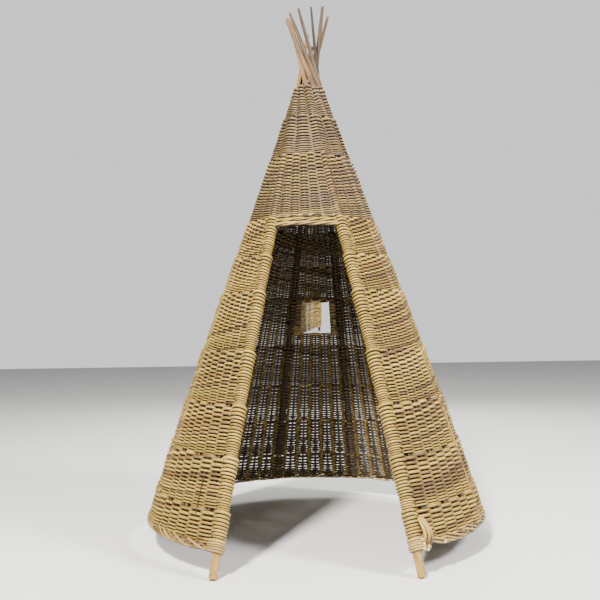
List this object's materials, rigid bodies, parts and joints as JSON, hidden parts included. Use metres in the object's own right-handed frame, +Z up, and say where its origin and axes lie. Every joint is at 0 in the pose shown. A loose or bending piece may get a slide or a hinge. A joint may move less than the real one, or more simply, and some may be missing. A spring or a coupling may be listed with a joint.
{
  "type": "woven willow play wigwam",
  "caption": "Tall conical wigwam of willow basketwork woven round leaning poles, with a doorway, a rear window with a hinged woven shutter, and feet.",
  "frame": {"origin": "on the floor, on the axis of the round base, where the four feet stand", "axes": "+Z up the wigwam; the doorway faces -Y and the window is in the back, at +Y; +X to the right for someone who looks in at the doorway"},
  "size_m": [1.2049, 1.1387, 1.8846],
  "materials": {
    "wall_weave": "dry willow rods, satin bark, mixed straw, olive and brown",
    "pole_bark": "thin smooth bark, tan to grey, with knots",
    "stake_bark": "dark willow bark, satin",
    "border_rods": "dry willow rods, satin bark",
    "lintel_rods": "thick willow rods, satin bark",
    "shutter_weave": "dry willow rods, satin bark",
    "tie_rods": "bent willow rods, satin bark"
  },
  "bodies": {
    "wigwam": {"base_border": "border_rods", "carrying_loop": "tie_rods", "door_lintel": "lintel_rods", "door_post_left": "pole_bark", "door_post_right": "pole_bark", "frame_pole_1": "pole_bark", "frame_pole_2": "pole_bark", "frame_pole_3": "pole_bark", "frame_pole_4": "pole_bark", "frame_pole_5": "pole_bark", "frame_pole_6": "pole_bark", "frame_pole_7": "pole_bark", "frame_pole_8": "pole_bark", "shutter_hinge_loop_lower": "tie_rods", "shutter_hinge_loop_upper": "tie_rods", "stakes_bay_1": "stake_bark", "stakes_bay_2": "stake_bark", "stakes_bay_3": "stake_bark", "stakes_bay_4": "stake_bark", "stakes_bay_5": "stake_bark", "stakes_bay_6": "stake_bark", "stakes_bay_7": "stake_bark", "stakes_bay_8": "stake_bark", "stakes_bay_9": "stake_bark", "stakes_over_door": "stake_bark", "weave_band_01": "wall_weave", "weave_band_02": "wall_weave", "weave_band_03": "wall_weave", "weave_band_04": "wall_weave", "weave_band_05": "wall_weave", "weave_band_06": "wall_weave", "weave_band_07": "wall_weave", "weave_band_08": "wall_weave", "weave_band_09": "wall_weave", "weave_band_10": "wall_weave", "window_head_rod": "stake_bark", "window_sill_rod": "stake_bark"},
    "shutter": {"shutter_free_stile": "stake_bark", "shutter_hinge_stile": "stake_bark", "shutter_mid_stake": "stake_bark", "shutter_weave": "shutter_weave"}
  },
  "joints": [
    {"name": "shutter_hinge", "type": "hinge", "parent": "wigwam", "child": "shutter", "pos_m": [-0.05419, 0.36539, 0.77721], "axis": [0.0179, -0.3492, 0.9369], "range_deg": [-52, 60]}
  ]
}
